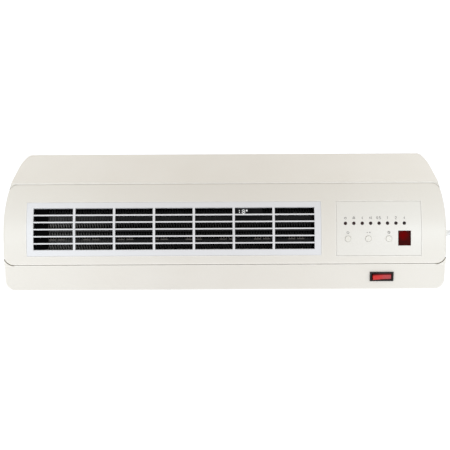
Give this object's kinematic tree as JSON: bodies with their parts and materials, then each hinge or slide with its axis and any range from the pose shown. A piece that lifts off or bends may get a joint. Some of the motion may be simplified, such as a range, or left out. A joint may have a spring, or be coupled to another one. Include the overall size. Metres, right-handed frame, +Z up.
{
  "type": "fan heater",
  "caption": "Long wall-hung fan heater: curved front cover with a slotted outlet grille and a push-button panel, red rocker switch, ceramic element, cross-flow blower, coiled mains cord.",
  "frame": {"origin": "middle of the case's footprint, on the surface that the base stands on", "axes": "+X to the right along the case as seen from the front, +Y from the front to the wall, +Z up"},
  "size_m": [0.7622, 0.1767, 0.161],
  "materials": {
    "case_ivory": "fine-grained satin",
    "grille_white": "satin",
    "panel_ivory": "satin",
    "button_ivory": "satin",
    "lens_dark": "gloss",
    "window_red": "gloss",
    "switch_black": "semi-gloss",
    "rocker_red": "semi-gloss",
    "circuit_board": "satin",
    "component_black": "matt",
    "terminal_green": "satin",
    "display_lit": "glowing",
    "screw_steel": "zinc plated",
    "tube_metal": "heat-darkened",
    "fin_metal": "heat-dulled",
    "holder_black": "matt",
    "tab_brass": "plain",
    "cutout_metal": "pressed",
    "duct_steel": "matt black",
    "drum_dark": "matt",
    "stack_steel": "laminated",
    "rotor_metal": "cast",
    "winding_copper": "lacquered",
    "lead_sleeve": "matt",
    "cord_white": "matt"
  },
  "bodies": {
    "case": {"rear_housing": "case_ivory", "front_cover": "case_ivory", "outlet_grille": "grille_white", "control_panel": "panel_ivory", "indicator_lights": "lens_dark", "receiver_window": "window_red", "switch_bezel": "switch_black", "cover_screws": "screw_steel", "control_board": "circuit_board", "push_switches": "component_black", "remote_receiver": "component_black", "board_screws": "screw_steel", "switch_terminals": "tab_brass", "heater_tubes": "tube_metal", "heater_fins": "fin_metal", "heater_holder_left": "holder_black", "heater_holder_right": "holder_black", "heater_terminals": "tab_brass", "thermal_cutout": "cutout_metal", "blower_plate_left": "duct_steel", "blower_plate_right": "duct_steel", "blower_scroll": "duct_steel", "blower_tongue": "duct_steel", "drum_bush": "tab_brass", "motor_stator": "stack_steel", "motor_winding": "winding_copper", "motor_bracket_inner": "stack_steel", "motor_bracket_outer": "stack_steel", "motor_bushes": "tab_brass", "motor_standoffs": "screw_steel", "display_module": "component_black", "display_board": "component_black", "display_digits": "display_lit", "supply_board": "circuit_board", "supply_screws": "screw_steel", "relays": "component_black", "capacitors": "component_black", "terminal_block": "terminal_green", "heater_leads": "lead_sleeve", "mains_leads": "lead_sleeve", "strain_relief": "cord_white", "mains_cord": "cord_white", "cord_coil": "cord_white", "coil_tie": "cord_white", "plug_body": "cord_white", "plug_pins": "tab_brass"},
    "blower_rotor": {"fan_drum": "drum_dark", "drum_stub_shaft": "screw_steel", "drum_coupling": "holder_black", "motor_rotor": "rotor_metal", "motor_shaft": "screw_steel"},
    "mode_button_body": {"mode_button": "button_ivory"},
    "level_button_body": {"level_button": "button_ivory"},
    "timer_button_body": {"timer_button": "button_ivory"},
    "rocker_body": {"switch_rocker": "rocker_red"}
  },
  "joints": [
    {"name": "fan_spin", "type": "hinge", "parent": "case", "child": "blower_rotor", "pos_m": [-0.06, 0.0125, 0.0806], "axis": [1, 0, 0], "continuous": true},
    {"name": "mode_press", "type": "slide", "parent": "case", "child": "mode_button_body", "axis": [0, 0.9756, -0.2195], "range_m": [0, 0.0006], "stiffness_N_per_m": 1200, "springref_m": -0.0004},
    {"name": "level_press", "type": "slide", "parent": "case", "child": "level_button_body", "axis": [0, 0.9756, -0.2195], "range_m": [0, 0.0006], "stiffness_N_per_m": 1200, "springref_m": -0.0004},
    {"name": "timer_press", "type": "slide", "parent": "case", "child": "timer_button_body", "axis": [0, 0.9756, -0.2195], "range_m": [0, 0.0006], "stiffness_N_per_m": 1200, "springref_m": -0.0004},
    {"name": "rocker_tilt", "type": "hinge", "parent": "case", "child": "rocker_body", "pos_m": [0.2028, -0.0561, 0.018], "axis": [0, 0, 1], "range_deg": [-16, 0]}
  ]
}
